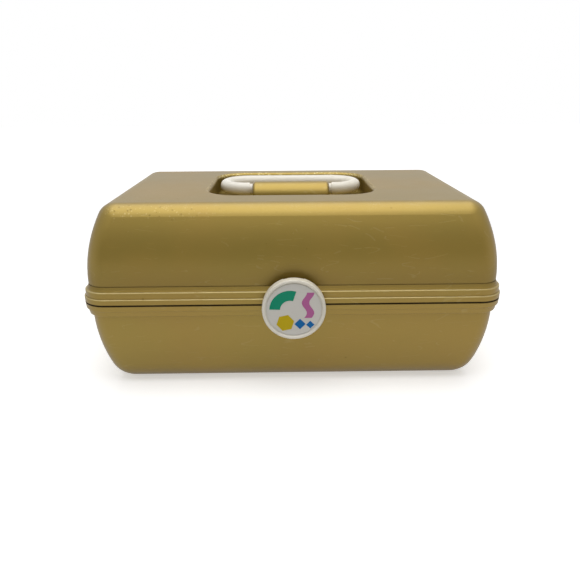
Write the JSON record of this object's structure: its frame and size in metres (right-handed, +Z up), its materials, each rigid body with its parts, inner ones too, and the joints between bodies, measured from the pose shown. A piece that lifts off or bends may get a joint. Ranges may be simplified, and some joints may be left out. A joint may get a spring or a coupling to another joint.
{
  "type": "makeup storage case with handle",
  "caption": "Domed moulded cosmetics case: hinged lid with a fold-down handle in a recess, round swing latch, mirror, and a divided tray that lifts with the lid.",
  "frame": {"origin": "middle of the flat bottom, on the surface that the case stands on", "axes": "+X across the case's width, -Y towards its front and latch, +Z up"},
  "size_m": [0.33, 0.2355, 0.151],
  "materials": {
    "gold_shell": "satin metallic gold moulded plastic",
    "white_plastic": "smooth white plastic",
    "tray_plastic": "fine satin white plastic",
    "printed_disc": null,
    "steel": "plated steel",
    "mirror_glass": "silvered glass",
    "backing_board": "dull grey board"
  },
  "bodies": {
    "base": {"base_shell": "gold_shell", "hinge_pin_right": "steel", "hinge_pin_left": "steel", "arm_base_pivots": "steel"},
    "lid": {"lid_shell": "gold_shell", "handle_saddle": "gold_shell", "saddle_screws": "steel", "lid_tray_pivots": "steel", "latch_pin": "steel", "mirror_frame": "tray_plastic", "mirror_glass": "mirror_glass", "mirror_backing": "backing_board", "mirror_screws": "steel"},
    "handle": {"handle": "white_plastic"},
    "latch": {"latch_body": "white_plastic", "latch_insert": "printed_disc", "latch_hook": "white_plastic"},
    "arms": {"arm_right": "steel", "arm_left": "steel"},
    "tray": {"tray_shell": "tray_plastic", "tray_divider_right": "tray_plastic", "tray_divider_left": "tray_plastic", "arm_tray_pivots": "steel"}
  },
  "joints": [
    {"name": "lid_hinge", "type": "hinge", "parent": "base", "child": "lid", "pos_m": [0, 0.113, 0.0755], "axis": [-1, 0, 0], "range_deg": [0, 100], "deforming": ["latch_hook"]},
    {"name": "arm_swing", "type": "hinge", "parent": "base", "child": "arms", "pos_m": [0, 0.041, 0.0435], "axis": [-1, 0, 0], "range_deg": [0, 100]},
    {"name": "tray_level", "type": "hinge", "parent": "arms", "child": "tray", "pos_m": [0, -0.02, 0.0535], "axis": [-1, 0, 0], "range_deg": [-100, 0]},
    {"name": "handle_swing", "type": "hinge", "parent": "lid", "child": "handle", "pos_m": [0, 0.007, 0.1445], "axis": [1, 0, 0], "range_deg": [0, 180]},
    {"name": "latch_swing", "type": "hinge", "parent": "lid", "child": "latch", "pos_m": [0, -0.1122, 0.0925], "axis": [-1, 0, 0], "range_deg": [0, 80]}
  ],
  "couplings": [
    {"joint": "arm_swing", "follows": "lid_hinge", "ratio": 1},
    {"joint": "tray_level", "follows": "lid_hinge", "ratio": -1}
  ]
}
